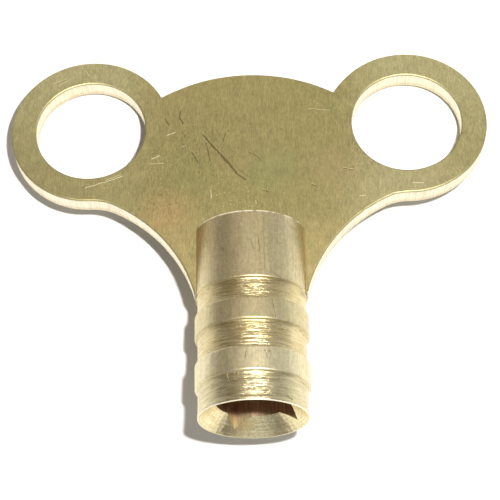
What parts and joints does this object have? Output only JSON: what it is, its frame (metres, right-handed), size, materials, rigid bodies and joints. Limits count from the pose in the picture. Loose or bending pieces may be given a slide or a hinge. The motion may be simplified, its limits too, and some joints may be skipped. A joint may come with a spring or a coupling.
{
  "type": "radiator bleed key",
  "caption": "Brass bleed key: a flat bow with two finger rings, brazed into a grooved round barrel with a square socket for a radiator's vent screw.",
  "frame": {"origin": "centre of the socket's mouth, on the barrel's axis", "axes": "+X across the bow, +Y along the barrel from the mouth towards the bow, +Z out of the bow's front face"},
  "size_m": [0.0392, 0.0318, 0.009],
  "materials": {
    "turned_bar": "drawn skin on the collar and ridges, fine turning marks in the grooves, nose and countersink",
    "stamped_plate": "rolled sheet with fine lengthways grain, scratches and a dulled olive tone",
    "brazing_filler": "as solidified, smooth and golden"
  },
  "bodies": {
    "root": {"barrel": "turned_bar", "bow_plate": "stamped_plate", "braze": "brazing_filler"}
  },
  "joints": []
}
